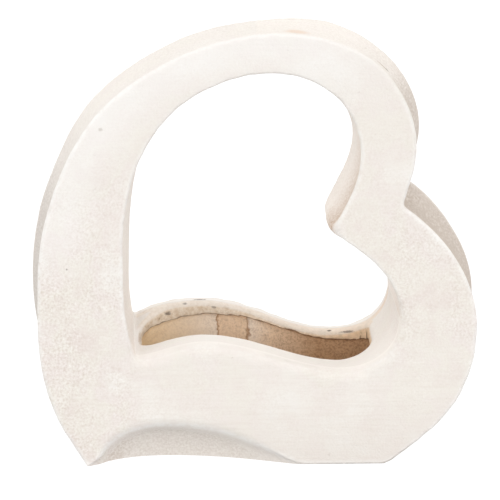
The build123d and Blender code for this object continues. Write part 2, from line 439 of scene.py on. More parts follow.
def inside(points, loops):
    """Which points lie inside the first of these closed loops, and outside the others within it."""
    crossings = 0
    across, up = points[:, 0, None], points[:, 1, None]
    for loop in loops:
        ahead = np.roll(loop, -1, axis=0)
        spans = (loop[:, 1] > up) != (ahead[:, 1] > up)
        rise = np.where(ahead[:, 1] == loop[:, 1], 1, ahead[:, 1] - loop[:, 1])
        meets = loop[:, 0] + (up - loop[:, 1]) / rise * (ahead[:, 0] - loop[:, 0])
        crossings += np.sum(spans & (across < meets), axis=1)
    return crossings % 2 == 1


def plate(name, flat_loops, rims, top_of, bottom_of, spacing):
    """A slab: a top and a bottom over the same net, joined by the layers of a rim along each loop.

    The first loop is the outline, the others are openings. A rim's first layer is its loop on the top.
    """
    lowest, highest = flat_loops[0].min(0), flat_loops[0].max(0)
    rows = np.arange(lowest[1], highest[1], spacing * math.sqrt(0.75))
    net = []
    for number, up in enumerate(rows):
        shift = spacing / 2 * (number % 2)
        net += [(across, up) for across in np.arange(lowest[0] + shift, highest[0], spacing)]
    net = np.array(net)
    net = net[inside(net, flat_loops)]
    edge_points = np.vstack(flat_loops)
    net = net[gaps(net, edge_points) > spacing * 0.55]

    points = np.vstack([edge_points, net])
    seams = []
    first = 0
    for loop in flat_loops:
        seams += [(first + step, first + (step + 1) % len(loop)) for step in range(len(loop))]
        first += len(loop)
    made = delaunay_2d_cdt([Vector(point) for point in points], seams, [], 0, 1e-7)
    origin = [sources[0] if sources else -1 for sources in made[3]]
    triangles = [tuple(origin[corner] for corner in face) for face in made[2]]
    triangles = [face for face in triangles if min(face) >= 0]
    kept = inside(points[np.array(triangles)].mean(axis=1), flat_loops)
    triangles = [face for face, keep in zip(triangles, kept) if keep]

    vertices = []
    total = 0
    top_index = []
    bottom_index = []
    faces = []
    for loop, rim in zip(flat_loops, rims):
        size = len(loop)
        vertices += rim
        for step in range(size):
            ahead = (step + 1) % size
            for depth in range(len(rim) - 1):
                here = total + depth * size
                faces.append((here + step, here + ahead, here + size + ahead, here + size + step))
        top_index += range(total, total + size)
        bottom_index += range(total + (len(rim) - 1) * size, total + len(rim) * size)
        total += len(rim) * size
    vertices += [top_of(net), bottom_of(net)]
    top_index += range(total, total + len(net))
    bottom_index += range(total + len(net), total + 2 * len(net))
    faces += [tuple(top_index[corner] for corner in face) for face in triangles]
    faces += [tuple(bottom_index[corner] for corner in reversed(face)) for face in triangles]
    return closed(clay_piece(name, np.vstack(vertices), faces))


# ---------------------------------------------------------------- front and back slab
def scoop_reach(height):
    """How deep behind a brow of this height the scoop meets the floor."""
    return np.maximum(cove_depth * height / cove_height - lean * height, 1e-9)


def cove_drop(height, depth):
    """How far the scooped foot falls below its brow at a depth behind it."""
    return height * (1 - np.sqrt(np.clip(1 - (depth / scoop_reach(height)) ** 2, 0, 1)))


def rim_layer(edge, side, inset, share, depth, rim):
    """One layer of a slab's rim: a share of the way from the inset line to the edge, at a depth."""
    depth = np.broadcast_to(depth, edge.count).copy()
    if edge is outside:
        # Near the tip the scoop meets the floor within the slab, and all layers but the last stop there
        brow = foot[1:-1]
        height = edge.flat[side][brow, 1]
        stop = np.maximum(scoop_reach(height), edge.radius[brow])
        stops = (height > 1e-6) & (depth[brow] < 0.99 * wall)
        depth[brow] = np.where(stops, np.minimum(depth[brow], stop), depth[brow])
    place = depth / edge.length
    if side > 0:
        place = 1 - place
    positions = lifted(inset + (edge.flat[side] - inset) * share, side)
    positions -= side * edge.across * depth[:, None]
    if edge is outside:
        positions[brow, 2] -= cove_drop(height, depth[brow])
    push = edge.push[-1] * (1 - place)[:, None] + edge.push[1] * place[:, None]
    return layer(positions, place, edge.along, rim, 0, 0, edge.grime, edge.warm, push)


def slab_rim(edge, side):
    """Layers from the face over the rounded edge to the slab's inner face."""
    inset = edge.inset(side, edge.radius)
    layers = []
    for angle in np.radians([90, 75, 60, 45, 30, 15, 0]):
        depth = edge.radius * (1 - math.sin(angle))
        rim = edge.radius * abs(angle - 0.8) + edge.dull
        layers.append(rim_layer(edge, side, inset, math.cos(angle), depth, rim))
    for share in (0.12, 0.25, 0.38, 0.5, 0.62, 0.75, 0.88, 1.0):
        depth = edge.radius + (wall - edge.radius) * share
        layers.append(rim_layer(edge, side, inset, 1, depth, depth))
    return inset, layers


def make_slab(name, side):
    outside_inset, outside_rim = slab_rim(outside, side)
    eye_inset, eye_rim = slab_rim(eye, side)
    both = np.vstack([outside.flat[side], eye.flat[side]])

    def face(net):
        return layer(lifted(net, side), side=0.5 + side / 2, rim=gaps(net, both))

    def inner(net):
        return layer(lifted(net, side) - side * np.array([0, slant_wall, 0]), raw=1)

    return plate(name, [outside_inset, eye_inset], [outside_rim, eye_rim], face, inner, face_spacing)


front_slab = make_slab("front_slab_finished", -1)
back_slab = make_slab("back_slab_finished", 1)


# ---------------------------------------------------------------- the scooped foot
def make_cove(name, side):
    """The curved strip behind the brow, from the slab's inner face down to the floor."""
    foot = outside.run(FOOT)
    height = outside.flat[side][foot, 1]
    level = np.flatnonzero(height < 1e-6)
    scooped = np.flatnonzero(height > 1e-6)
    scooped = scooped[scooped > level[0]]
    foot = foot[scooped[0] - 1:scooped[-1] + 2]
    height = outside.flat[side][foot, 1]
    full = scoop_reach(height)
    brow = lifted(outside.flat[side], side)[foot]
    steps = range(cove_steps + 1)
    rows = []
    for thickness, order in ((0.0, steps), (wall, reversed(steps))):
        reach = full + thickness
        start = np.arcsin(np.clip(wall / np.maximum(reach, 1e-9), 0, 1))
        for step in order:
            angle = start + (math.pi / 2 - start) * step / cove_steps
            depth = np.maximum(reach * np.sin(angle), wall)
            up = (height + thickness) * np.sqrt(np.clip(1 - (depth / np.maximum(reach, 1e-9)) ** 2, 0, 1))
            positions = brow - side * outside.across[foot] * depth[:, None]
            positions[:, 2] = up
            rows.append(layer(positions, side=0.2, along=outside.along[foot], raw=thickness / wall,
                              grime=outside.grime[foot], warm=outside.warm[foot]))
    stations = len(foot)
    vertices = np.vstack(rows)
    faces = []
    for row in range(len(rows)):
        ahead = (row + 1) % len(rows)
        for station in range(stations - 1):
            faces.append((row * stations + station, row * stations + station + 1,
                          ahead * stations + station + 1, ahead * stations + station))
    return closed(clay_piece(name, vertices, faces))


front_cove = make_cove("front_cove_finished", -1)
back_cove = make_cove("back_cove_finished", 1)


# ---------------------------------------------------------------- node trees
class Tree(dict):
    """A node tree, with the values worked out in it by name."""

    def __init__(self, tree, values):
        super().__init__(values)
        self.tree = tree

    def add(self, kind, sockets=None, **settings):
        """Adds a node. Sockets take a constant, the name of a value, another node's output, or a node,
        which stands for its first output. Only a socket called Name takes text."""
        node = self.tree.nodes.new(kind)
        for name, value in settings.items():
            setattr(node, name, value)
        for name, value in (sockets or {}).items():
            value = value if name == "Name" else self.get(value, value)
            if isinstance(value, bpy.types.Node):
                value = next(output for output in value.outputs if output.enabled)
            if isinstance(value, bpy.types.NodeSocket):
                self.tree.links.new(value, node.inputs[name])
            else:
                node.inputs[name].default_value = value
        return node


def new_tree(name, inputs):
    """A geometry tree with named inputs, which are its first values."""
    tree = bpy.data.node_groups.new(name, "GeometryNodeTree")
    tree.interface.new_socket("Geometry", in_out="OUTPUT", socket_type="NodeSocketGeometry")
    for label, kind in {"Geometry": "Geometry", **inputs, "Material": "Material"}.items():
        tree.interface.new_socket(label, in_out="INPUT", socket_type="NodeSocket" + kind)
    return Tree(tree, tree.nodes.new("NodeGroupInput").outputs.items())


def ended(tree, shape):
    """The geometry tree, ended with plain geometry of the material given."""
    shape = tree.add("GeometryNodeRealizeInstances", {"Geometry": shape})
    shape = tree.add("GeometryNodeSetMaterial", {"Geometry": shape, "Material": "Material"})
    tree.add("NodeGroupOutput", {"Geometry": shape})
    return tree.tree


def strip_tree():
    """A strip of clay between two edges, as a closed solid.

    The input holds the front edge's points, then as many of the back edge, each with its "push", with
    "inner", the way from the skin to the inner face, and with its other tags. The net goes once
    round the strip: over the skin from back to front, then over the inner face, then back to the skin.
    """
    tree = new_tree("strip between two edges", {"Steps Across": "Int", "Wall": "Float"})
    tree["points"] = tree.add("GeometryNodeAttributeDomainSize", {"Geometry": "Geometry"},
            component="MESH")
    tree["stations"] = tree.add("ShaderNodeMath", {0: "points", 1: 0.5}, operation="MULTIPLY")
    tree["long"] = tree.add("ShaderNodeMath", {0: "stations", 1: 1.0}, operation="ADD")
    tree["rows"] = tree.add("ShaderNodeMath", {0: "stations", 1: 2.0}, operation="ADD")
    tree["deep"] = tree.add("ShaderNodeMath", {0: "Steps Across", 1: 2.0, 2: 2.0},
            operation="MULTIPLY_ADD")
    tree["columns"] = tree.add("ShaderNodeMath", {0: "deep", 1: 1.0}, operation="ADD")
    shape = tree.add("GeometryNodeMeshGrid", {"Size X": "long", "Size Y": "deep", "Vertices X": "rows",
            "Vertices Y": "columns"})
    position = tree.add("GeometryNodeInputPosition")
    net = tree.add("ShaderNodeSeparateXYZ", {0: position}).outputs
    tree.update(x=net["X"], y=net["Y"])
    # Along the edges: the first and last rows cap the ends, halfway between skin and inner face
    tree["half"] = tree.add("ShaderNodeMath", {0: "stations", 1: 0.5}, operation="MULTIPLY")
    tree["off middle"] = tree.add("ShaderNodeMath", {0: "x"}, operation="ABSOLUTE")
    tree["cap"] = tree.add("ShaderNodeMath", {0: "off middle", 1: "half"}, operation="GREATER_THAN")
    tree["last"] = tree.add("ShaderNodeMath", {0: "stations", 1: 1.0}, operation="SUBTRACT")
    tree["station"] = tree.add("ShaderNodeMath", {0: "last", 1: 0.5, 2: "x"}, operation="MULTIPLY_ADD")
    tree["station"] = tree.add("ShaderNodeMath", {0: "station"}, operation="ROUND")
    tree["station"] = tree.add("ShaderNodeMath", {0: "station", 1: 0.0}, operation="MAXIMUM")
    tree["station"] = tree.add("ShaderNodeMath", {0: "station", 1: "last"}, operation="MINIMUM")
    tree["opposite"] = tree.add("ShaderNodeMath", {0: "station", 1: "stations"}, operation="ADD")
    # Round the strip: the share of the way from front edge to back edge, on the skin or the inner face
    tree["around"] = tree.add("ShaderNodeMath", {0: "y", 1: 0.5}, operation="ADD")
    tree["share"] = tree.add("ShaderNodeMath", {0: "around"}, operation="ABSOLUTE")
    tree["share"] = tree.add("ShaderNodeMath", {0: "share", 1: 0.5}, operation="SUBTRACT")
    tree["share"] = tree.add("ShaderNodeMath", {0: "share", 1: "Steps Across"}, operation="DIVIDE")
    tree["share"] = tree.add("ShaderNodeMath", {0: "share", 1: 1.0}, operation="MINIMUM")
    tree["behind"] = tree.add("ShaderNodeMath", {0: "y", 1: -0.5}, operation="GREATER_THAN")
    tree["beyond"] = tree.add("ShaderNodeMath", {0: "around", 1: "Steps Across"}, operation="SUBTRACT")
    tree["beyond"] = tree.add("ShaderNodeMath", {0: "beyond", 1: 1.0}, operation="GREATER_THAN")
    tree["inward"] = tree.add("ShaderNodeMath", {0: "behind", 1: "beyond"}, operation="SUBTRACT")
    tree["inward"] = tree.add("ShaderNodeMix", {0: "cap", 2: "inward", 3: 0.5})

    ends = {}
    for label in ("position", "push", "inner", "along", "grime", "warm"):
        kind = "FLOAT_VECTOR" if label in ("position", "push", "inner") else "FLOAT"
        value = position
        if label != "position":
            value = tree.add("GeometryNodeInputNamedAttribute", {"Name": label}, data_type=kind)
        ends[label] = [tree.add("GeometryNodeSampleIndex", {"Geometry": "Geometry", "Value": value,
                "Index": at}, data_type=kind) for at in ("station", "opposite")]
    front, back = ends["position"]
    tree["span"] = tree.add("ShaderNodeVectorMath", {0: front, 1: back}, operation="DISTANCE")
    tree["margin"] = tree.add("ShaderNodeMath", {0: "Wall", 1: "span"}, operation="DIVIDE")
    tree["far"] = tree.add("ShaderNodeMath", {0: 1.0, 1: "margin"}, operation="SUBTRACT")
    tree["place"] = tree.add("ShaderNodeMix", {0: "share", 2: "margin", 3: "far"})
    mixed = {}
    for label in ("position", "push", "inner"):
        front, back = ends[label]
        mixed[label] = tree.add("ShaderNodeMix", {0: "place", 4: front, 5: back}, data_type="VECTOR")
    tree["outward"] = tree.add("ShaderNodeMath", {0: 1.0, 1: "inward"}, operation="SUBTRACT")
    tree["from back"] = tree.add("ShaderNodeMath", {0: 1.0, 1: "place"}, operation="SUBTRACT")
    tree["rim"] = tree.add("ShaderNodeMath", {0: "place", 1: "from back"}, operation="MINIMUM")
    tree["rim"] = tree.add("ShaderNodeMath", {0: "rim", 1: "span"}, operation="MULTIPLY")
    tree["raw"] = tree.add("ShaderNodeMath", {0: "inward", 1: 2.0}, operation="MULTIPLY")
    inner = tree.add("ShaderNodeVectorMath", {0: mixed["inner"], "Scale": "inward"}, operation="SCALE")
    placed = tree.add("ShaderNodeVectorMath", {0: mixed["position"], 1: inner}, operation="ADD")
    push = tree.add("ShaderNodeVectorMath", {0: mixed["push"], "Scale": "outward"}, operation="SCALE")
    # These are stored while the net is still flat, because they are worked out from its places
    stored = {"side": "place", "along": ends["along"][0], "rim": "rim", "raw": "raw",
              "grime": ends["grime"][0], "warm": ends["warm"][0], "push": push}
    for label, value in stored.items():
        kind = "FLOAT_VECTOR" if label == "push" else "FLOAT"
        shape = tree.add("GeometryNodeStoreNamedAttribute", {"Geometry": shape, "Name": label,
                "Value": value}, data_type=kind)
    shape = tree.add("GeometryNodeSetPosition", {"Geometry": shape, "Position": placed})
    shape = tree.add("GeometryNodeMergeByDistance", {"Geometry": shape, "Distance": 2e-6})
    return ended(tree, shape)


def hand_pressed_tree():
    """Presses the sides hollow, and gives all the clay the slow and quick unevenness of hands.

    The unevenness depends on the place alone, so that pieces still meet.
    """
    labels = ("Depth", "Size", "Ripple Depth", "Ripple Size", "Flat Foot", "Seed")
    tree = new_tree("hand pressed", dict.fromkeys(labels, "Float"))
    side = tree.add("GeometryNodeInputNamedAttribute", {"Name": "side"})
    profile = tree.add("ShaderNodeFloatCurve", {"Value": side})
    line = profile.mapping.curves[0]
    line.points[1].location = (1.0, 0.0)
    for across, depth in ((0.1, 0.5), (0.34, 1.0), (0.7, 0.55)):
        line.points.new(across, depth)
    profile.mapping.update()
    push = tree.add("GeometryNodeInputNamedAttribute", {"Name": "push"}, data_type="FLOAT_VECTOR")
    offset = tree.add("ShaderNodeVectorMath", {0: push, "Scale": profile}, operation="SCALE")
    position = tree.add("GeometryNodeInputPosition")
    height = tree.add("ShaderNodeSeparateXYZ", {0: position}).outputs["Z"]
    tree["above"] = tree.add("ShaderNodeMapRange", {"Value": height, "From Max": "Flat Foot"},
            interpolation_type="SMOOTHSTEP")
    for depth, size in (("Depth", "Size"), ("Ripple Depth", "Ripple Size")):
        tree["scale"] = tree.add("ShaderNodeMath", {0: 1.0, 1: size}, operation="DIVIDE")
        tree["reach"] = tree.add("ShaderNodeMath", {0: depth, 1: "above"}, operation="MULTIPLY")
        bumps = tree.add("ShaderNodeTexNoise", {"Vector": position, "W": "Seed", "Scale": "scale",
                "Detail": 0.0}, noise_dimensions="4D")
        bumps = tree.add("ShaderNodeVectorMath", {0: bumps.outputs["Color"], 1: (0.5, 0.5, 0.5)},
                operation="SUBTRACT")
        bumps = tree.add("ShaderNodeVectorMath", {0: bumps, "Scale": "reach"}, operation="SCALE")
        offset = tree.add("ShaderNodeVectorMath", {0: offset, 1: bumps}, operation="ADD")
    shape = tree.add("GeometryNodeSetPosition", {"Geometry": "Geometry", "Offset": offset})
    return ended(tree, shape)


def applied(piece, tree, values):
    """Runs a geometry tree on a piece with these inputs and keeps the result as its plain mesh."""
    modifier = piece.modifiers.new(tree.name, "NODES")
    modifier.node_group = tree
    sockets = {item.name: item.identifier for item in tree.interface.items_tree if item.in_out == "INPUT"}
    for label, value in values.items():
        modifier[sockets[label]] = value
    graph = bpy.context.evaluated_depsgraph_get()
    made = bpy.data.meshes.new_from_object(piece.evaluated_get(graph), depsgraph=graph)
    piece.modifiers.remove(modifier)
    made.name = piece.name
    piece.data = made
    return piece


# ---------------------------------------------------------------- materials
def linear(code):
    """An sRGB hex colour as linear RGBA."""
    channels = [int(code[start:start + 2], 16) / 255 for start in (1, 3, 5)]
    return (*[c / 12.92 if c <= 0.04045 else ((c + 0.055) / 1.055) ** 2.4 for c in channels], 1.0)


def new_material(name):
    """A material, and its tree with the place on the object in millimetres among its values."""
    material = bpy.data.materials.new(name)
    material.use_nodes = True
    material.node_tree.nodes.clear()
    tree = Tree(material.node_tree, {})
    metres = tree.add("ShaderNodeTexCoord").outputs["Object"]
    tree["where"] = tree.add("ShaderNodeMapping", {"Vector": metres, "Scale": (1000, 1000, 1000)})
    place = tree.add("ShaderNodeSeparateXYZ", {0: "where"}).outputs
    tree.update(x=place["X"], z=place["Z"])
    return material, tree


def end_material(tree, sockets):
    """Ends a material's tree with a matt shader that takes these sockets."""
    matt = {"IOR": 1.5, "Roughness": 0.92, "Specular IOR Level": 0.2}
    shader = tree.add("ShaderNodeBsdfPrincipled", {**matt, **sockets})
    tree.add("ShaderNodeOutputMaterial", {"Surface": shader})


def set_stops(ramp, stops):
    """Colours along a ramp, as pairs of place and hex."""
    elements = ramp.color_ramp.elements
    elements[0].position, elements[0].color = stops[0][0], linear(stops[0][1])
    elements[1].position, elements[1].color = stops[-1][0], linear(stops[-1][1])
    for place, code in stops[1:-1]:
        elements.new(place).color = linear(code)


def raw_clay(tree):
    """Colour of the low-fired clay inside: smeared with thin wash on the left, wiped bare and gritty,
    darker to the right, with ragged borders between."""
    tree = Tree(tree.tree, tree)
    for name, size, roughness in (("uneven", 4.0, 0.6), ("fine", 1.6, 0.7)):
        tree[name] = tree.add("ShaderNodeTexNoise", {"Vector": "where", "Scale": 1 / size, "Detail": 4.0,
                "Roughness": roughness})
    tree["across"] = tree.add("ShaderNodeMath", {0: "uneven", 1: 7.0, 2: "x"}, operation="MULTIPLY_ADD")
    left, right = -96.5, 103.5
    tree["across"] = tree.add("ShaderNodeMapRange", {"Value": "across", "From Min": left,
            "From Max": right})
    tree["grit"] = tree.add("ShaderNodeMath", {0: "uneven", 1: 0.3, 2: "fine"}, operation="MULTIPLY_ADD")
    tree["dark"] = tree.add("ShaderNodeMapRange", {"Value": "grit", "From Min": 0.6, "From Max": 0.92,
            "To Max": 0.8})
    tree["rightward"] = tree.add("ShaderNodeMapRange", {"Value": "across", "From Min": 0.3,
            "From Max": 0.8, "To Min": 0.25})
    tree["dark"] = tree.add("ShaderNodeMath", {0: "dark", 1: "rightward"}, operation="MULTIPLY")
    tone = tree.add("ShaderNodeValToRGB", {"Fac": "across"})
    smeared, pooled, wiped, dry, border = "#ECD1AA", "#F0E0CE", "#E9CEB1", "#C39E7A", "#AC8664"
    # Millimetres from the middle, left to right, with a border at each side of the wiped stretch
    smears = ((-73, smeared), (-22.5, pooled), (-21.5, border), (-20, wiped), (-1.5, wiped),
              (-0.5, border), (1, pooled), (15, wiped), (48, dry))
    set_stops(tone, [((place - left) / (right - left), code) for place, code in smears])
    return tree.add("ShaderNodeMix", {0: "dark", 6: tone, 7: linear("#6E4630")}, data_type="RGBA")


# Single marks on the wash, as the middle and the reach each way in millimetres, the colour and its
# strength: pinholes where grit fell out, a chip and a crack on the crown, pits on the slot's lip, dirt at
# its left end
MARKS = (((-126.4, -40.5, 132.9), (0.7, 3, 0.7), "#8F857B", 0.7),
         ((-103.0, -26.7, 225.5), (1.7, 3, 1.4), "#A79D92", 0.4),
         ((-107.6, -59.6, 2.5), (1.6, 3, 1.0), "#A89E94", 0.5),
         ((79.0, 29.5, 60.0), (0.8, 1.0, 5.0), "#5A4636", 0.7),
         ((74.5, 32.8, 57.0), (0.7, 2.0, 3.5), "#5A4636", 0.6),
         ((27.5, -9.0, 287.0), (9.0, 5, 5), "#D6B79B", 0.45),
         ((85.0, -6.6, 262.8), (6.0, 1.0, 6.0), "#A8947F", 0.7),
         ((87.9, -5.9, 259.8), (1.8, 1.0, 1.8), "#6F6A5C", 0.7),
         ((-37.5, 38.3, 85.3), (5.0, 1.0, 2), "#5F5146", 0.8),
         ((-59.5, 31.8, 77.7), (2.4, 3, 1.5), "#5F5146", 0.7),
         ((-27.5, 33.1, 81.4), (1.9, 3, 1.0), "#8C7F74", 0.7),
         ((-47.6, 34.3, 84.1), (2.0, 0.8, 2), "#6B6057", 0.6),
         ((-78.4, -6.0, 73.0), (1.5, 16.0, 2.5), "#A68A6C", 0.6),
         ((53.0, 36.0, 62.8), (1.8, 1.0, 2), "#4F443B", 0.8),
         ((65.5, 34.0, 62.4), (5.5, 0.8, 1.2), "#5F5146", 0.7))


def whitewashed_terracotta():
    """Terracotta brushed with matt white wash: milky, faintly clouded and sandy, wiped thin in the
    hollows with painted shade there, rubbed cleaner on the arrises with a painted highlight, whiter on
    the sides, partly as painted light, and with a painted shadow where it meets the floor. The slot's cut
    carries a thick dirty skin of wash over raw clay, with a painted shadow under its edge."""
    material, tree = new_material("whitewashed terracotta, brushed and rubbed")
    for tag in TAGS:
        tree[tag] = tree.add("ShaderNodeAttribute", attribute_name=tag).outputs["Fac"]

    # Textures by size in millimetres, detail and roughness. Clouds are thicker and thinner wash. Grains
    # are the sand of the clay under it, about half a millimetre, drawn coarser so that they show
    textures = {"clouds": (46, 3.0, 0.6), "grains": (1.5, 2.0, 0.6), "patches": (28, 2.0, 0.5),
                "worn": (5, 3.0, 0.5), "pits": (3.2, 4.0, 0.7)}
    for name, (size, detail, roughness) in textures.items():
        tree[name] = tree.add("ShaderNodeTexNoise", {"Vector": "where", "Scale": 1 / size,
                "Detail": detail, "Roughness": roughness})
    # Level strokes of the brush over the faces, 1 to 3 mm wide, and longer streaks along the sides
    level = tree.add("ShaderNodeMapping", {"Vector": "where", "Scale": (1 / 30, 1 / 30, 1 / 1.6)})
    tree["lengthwise"] = tree.add("ShaderNodeMath", {0: "along", 1: 1 / (38 * MM)}, operation="MULTIPLY")
    tree["across"] = tree.add("ShaderNodeMath", {0: "side", 1: 34.0}, operation="MULTIPLY")
    lengthwise = tree.add("ShaderNodeCombineXYZ", {"X": "lengthwise", "Y": "across"})
    drawn_out = (("strokes", level, 2.0, 0.0), ("streaks", lengthwise, 3.0, 0.3))
    for name, vector, detail, distortion in drawn_out:
        tree[name] = tree.add("ShaderNodeTexNoise", {"Vector": vector, "Scale": 1.0, "Detail": detail,
                "Roughness": 0.6, "Distortion": distortion})
    ring_middle = (10.0, -30.0, 140.0)
    tree["outward"] = tree.add("ShaderNodeVectorMath", {0: "where", 1: ring_middle},
            operation="DISTANCE")
    for name, start, end in (("near front", 0.01, 0.1), ("to back", 1.0, 0.9)):
        tree[name] = tree.add("ShaderNodeMapRange", {"Value": "side", "From Min": start, "From Max": end},
                interpolation_type="SMOOTHSTEP")

    # Sand and white crumbs of wash: most on the left arm and round the cleft, little on crown and base
    tree["left"] = tree.add("ShaderNodeMapRange", {"Value": "x", "From Min": -60.0, "From Max": -95.0})
    tree["right"] = tree.add("ShaderNodeMapRange", {"Value": "x", "From Min": 40.0, "From Max": 70.0,
            "To Max": 0.75})
    tree["low"] = tree.add("ShaderNodeMapRange", {"Value": "z", "From Min": 90.0, "From Max": 55.0})
    tree["right"] = tree.add("ShaderNodeMath", {0: "right", 1: "low"}, operation="SUBTRACT")
    tree["either"] = tree.add("ShaderNodeMath", {0: "left", 1: "right"}, operation="MAXIMUM")
    tree["under crown"] = tree.add("ShaderNodeMapRange", {"Value": "z", "From Min": 220.0,
            "From Max": 150.0})
    tree["sandy"] = tree.add("ShaderNodeMath", {0: "either", 1: "under crown"}, operation="MULTIPLY")
    tree["creamy"] = tree.add("ShaderNodeMapRange", {"Value": "sandy", "From Min": 1.0, "From Max": 0.0,
            "To Max": 0.4})
    tree["coarse"] = tree.add("ShaderNodeMapRange", {"Value": "sandy", "To Min": 0.3})
    tree["patchy"] = tree.add("ShaderNodeMapRange", {"Value": "patches", "From Min": 0.38,
            "From Max": 0.62, "To Min": 0.45, "To Max": 1.05})
    tree["coarse"] = tree.add("ShaderNodeMath", {0: "coarse", 1: "patchy"}, operation="MULTIPLY")
    tree["dark"] = tree.add("ShaderNodeMapRange", {"Value": "grains", "From Min": 0.48, "From Max": 0.8,
            "To Max": 0.75})
    tree["dark"] = tree.add("ShaderNodeMath", {0: "dark", 1: "coarse"}, operation="MULTIPLY")
    tree["crumbs"] = tree.add("ShaderNodeMapRange", {"Value": "grains", "From Min": 0.46,
            "From Max": 0.2, "To Max": 0.6})
    tree["crumbs"] = tree.add("ShaderNodeMath", {0: "crumbs", 1: "coarse"}, operation="MULTIPLY")
    # Soiled low down at the middle and the right, and most brushed there
    tree["soiled"] = tree.add("ShaderNodeMapRange", {"Value": "z", "From Min": 48.0, "From Max": 5.0,
            "To Max": 0.34})
    tree["off left"] = tree.add("ShaderNodeMapRange", {"Value": "x", "From Min": -60.0, "From Max": 10.0})
    tree["soiled"] = tree.add("ShaderNodeMath", {0: "soiled", 1: "off left"}, operation="MULTIPLY")
    tree["stroke"] = tree.add("ShaderNodeMapRange", {"Value": "strokes", "From Min": 0.45,
            "From Max": 0.75, "To Max": 0.16})
    tree["brushed"] = tree.add("ShaderNodeMath", {0: "low", 1: 0.6, 2: 0.4}, operation="MULTIPLY_ADD")
    tree["stroke"] = tree.add("ShaderNodeMath", {0: "stroke", 1: "brushed"}, operation="MULTIPLY")
    # On the sides, between the faces, the wash is whiter than on the rubbed faces: thicker wash, and
    # painted light as well, most where warm, in the opening. The faces are whiter towards the outside of
    # the crown and the left shoulder
    tree["between"] = tree.add("ShaderNodeMath", {0: "near front", 1: "to back"}, operation="MULTIPLY")
    tree["thick_wash_and_light"] = tree.add("ShaderNodeMath", {0: "warm", 1: 0.45, 2: 0.32}, operation="MULTIPLY_ADD")
    tree["thick_wash_and_light"] = tree.add("ShaderNodeMath", {0: "thick_wash_and_light", 1: "between"}, operation="MULTIPLY")
    tree["outward"] = tree.add("ShaderNodeMapRange", {"Value": "outward", "From Min": 114.0,
            "From Max": 138.0, "To Max": 0.45})
    tree["leftward"] = tree.add("ShaderNodeMapRange", {"Value": "x", "From Min": 95.0, "From Max": 40.0})
    tree["above"] = tree.add("ShaderNodeMapRange", {"Value": "z", "From Min": 120.0, "From Max": 165.0})
    tree["on face"] = tree.add("ShaderNodeMath", {0: 1.0, 1: "between"}, operation="SUBTRACT")
    tree["outward"] = tree.add("ShaderNodeMath", {0: "outward", 1: "leftward"}, operation="MULTIPLY")
    tree["outward"] = tree.add("ShaderNodeMath", {0: "outward", 1: "above"}, operation="MULTIPLY")
    tree["outward"] = tree.add("ShaderNodeMath", {0: "outward", 1: "on face"}, operation="MULTIPLY")
    # Dirt and painted shade in the hollows of the sides, in speckles and in streaks. In the opening,
    # where it is warm, it lies close behind the front arris, as the painted shade of the hollow there
    tree["close"] = tree.add("ShaderNodeMapRange", {"Value": "side", "From Min": 0.7, "From Max": 0.15,
            "To Min": 0.25})
    tree["close"] = tree.add("ShaderNodeMath", {0: "close", 1: 1.0}, operation="SUBTRACT")
    tree["close"] = tree.add("ShaderNodeMath", {0: "close", 1: "warm", 2: 1.0}, operation="MULTIPLY_ADD")
    tree["speckled"] = tree.add("ShaderNodeMapRange", {"Value": "grains", "From Min": 0.3,
            "From Max": 0.7, "To Min": 0.5, "To Max": 1.45})
    tree["streaky"] = tree.add("ShaderNodeMapRange", {"Value": "streaks", "From Min": 0.25,
            "From Max": 0.7, "To Min": 0.7})
    tree["thin_wash_and_shade"] = tree.add("ShaderNodeMath", {0: "between", 1: "grime"}, operation="MULTIPLY")
    tree["thin_wash_and_shade"] = tree.add("ShaderNodeMath", {0: "thin_wash_and_shade", 1: "close"}, operation="MULTIPLY")
    tree["thin_wash_and_shade"] = tree.add("ShaderNodeMath", {0: "thin_wash_and_shade", 1: "speckled"}, operation="MULTIPLY")
    tree["thin_wash_and_shade"] = tree.add("ShaderNodeMath", {0: "thin_wash_and_shade", 1: "streaky"}, operation="MULTIPLY")
    # Arrises rubbed to clean wash and given a painted highlight, in patches, and less on the crown
    tree["wear"] = tree.add("ShaderNodeMapRange", {"Value": "worn", "From Min": 0.3, "From Max": 0.55})
    tree["rubbed_and_highlight"] = tree.add("ShaderNodeMapRange", {"Value": "rim", "From Min": 3.4 * MM,
            "From Max": 0.5 * MM, "To Max": 0.45})
    tree["lower"] = tree.add("ShaderNodeMapRange", {"Value": "z", "From Min": 265.0, "From Max": 225.0,
            "To Min": 0.2})
    tree["rubbed_and_highlight"] = tree.add("ShaderNodeMath", {0: "rubbed_and_highlight", 1: "wear"}, operation="MULTIPLY")
    tree["rubbed_and_highlight"] = tree.add("ShaderNodeMath", {0: "rubbed_and_highlight", 1: "lower"}, operation="MULTIPLY")
    # A painted shadow: a patchy grey-brown line where the foot and the heel meet the floor
    tree["contact_shadow"] = tree.add("ShaderNodeMapRange", {"Value": "rim", "From Min": 1.3 * MM,
            "From Max": 0.3 * MM})
    tree["rightward"] = tree.add("ShaderNodeMapRange", {"Value": "x", "From Max": 45.0, "To Max": 0.6})
    tree["near floor"] = tree.add("ShaderNodeMapRange", {"Value": "z", "From Min": 18.0, "From Max": 8.0})
    tree["contact_shadow"] = tree.add("ShaderNodeMath", {0: "contact_shadow", 1: "rightward"}, operation="MULTIPLY")
    tree["contact_shadow"] = tree.add("ShaderNodeMath", {0: "contact_shadow", 1: "near floor"}, operation="MULTIPLY")
    tree["contact_shadow"] = tree.add("ShaderNodeMath", {0: "contact_shadow", 1: "wear"}, operation="MULTIPLY")
